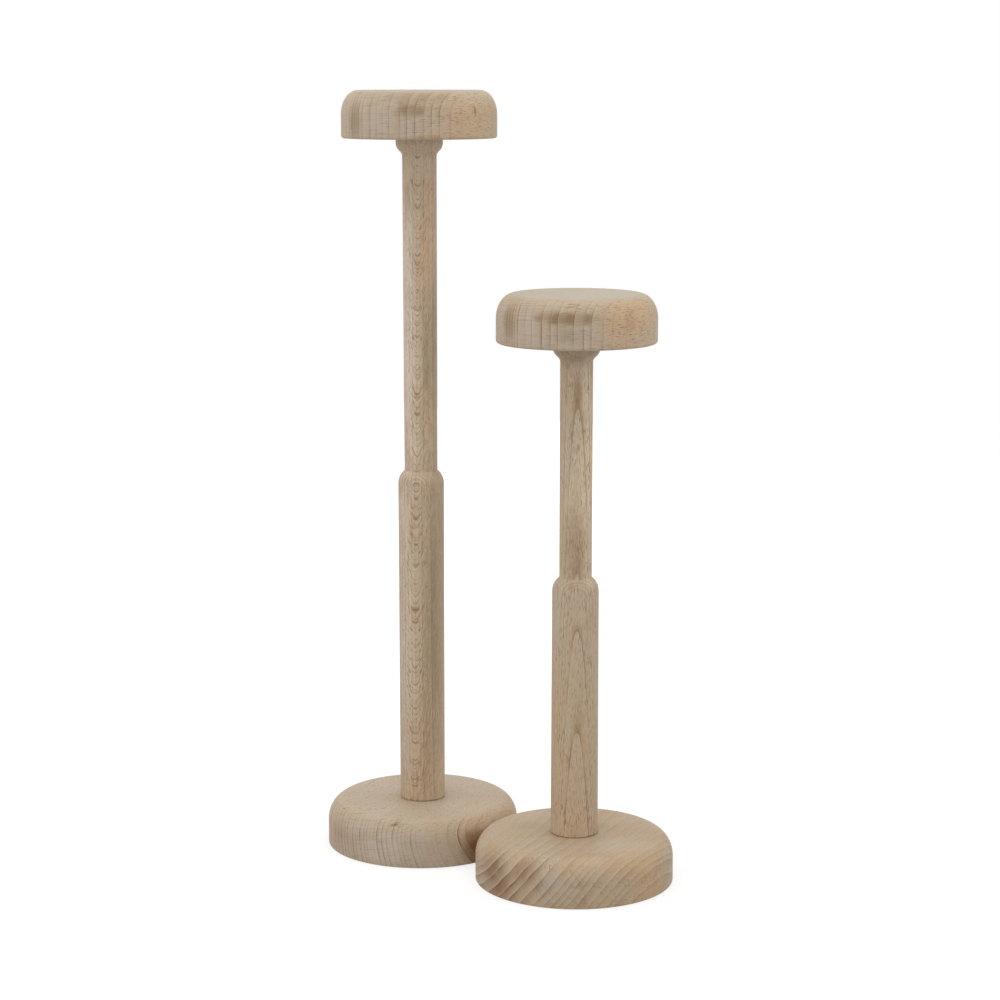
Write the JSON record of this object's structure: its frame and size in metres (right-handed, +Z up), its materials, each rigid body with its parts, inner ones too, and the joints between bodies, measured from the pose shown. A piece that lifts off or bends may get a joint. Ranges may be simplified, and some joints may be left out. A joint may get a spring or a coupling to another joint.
{
  "type": "hat display stand pair",
  "caption": "Turned beech hat display stands, one tall and one short, each a round base, a stepped column with a collar, and a round disc that holds the hat.",
  "frame": {"origin": "on the surface that both stands rest on, midway between the axes of the two columns", "axes": "+X from the tall stand's axis to the short stand's axis, +Y level and square to it, away from a viewer who has the tall stand on the left, +Z up along the columns"},
  "size_m": [0.2416, 0.12, 0.473],
  "materials": {
    "base_beech": "turned, sanded, unfinished beech, with growth rings and ray flecks",
    "column_beech": "turned, sanded, unfinished beech, grain along the column",
    "disc_beech": "turned, sanded, unfinished beech, with growth rings and ray flecks",
    "dowel_beech": "fluted beech dowel pin",
    "screw_steel": "bright zinc plate"
  },
  "bodies": {
    "tall_stand": {"tall_base": "base_beech", "tall_column": "column_beech", "tall_disc": "disc_beech", "tall_base_screw": "screw_steel", "tall_disc_dowel": "dowel_beech"},
    "short_stand": {"short_base": "base_beech", "short_column": "column_beech", "short_disc": "disc_beech", "short_base_screw": "screw_steel", "short_disc_dowel": "dowel_beech"}
  },
  "joints": [
    {"name": "short_stand_slide", "type": "slide", "parent": "tall_stand", "child": "short_stand", "axis": [1, 0, 0], "range_m": [0, 0.28]}
  ]
}
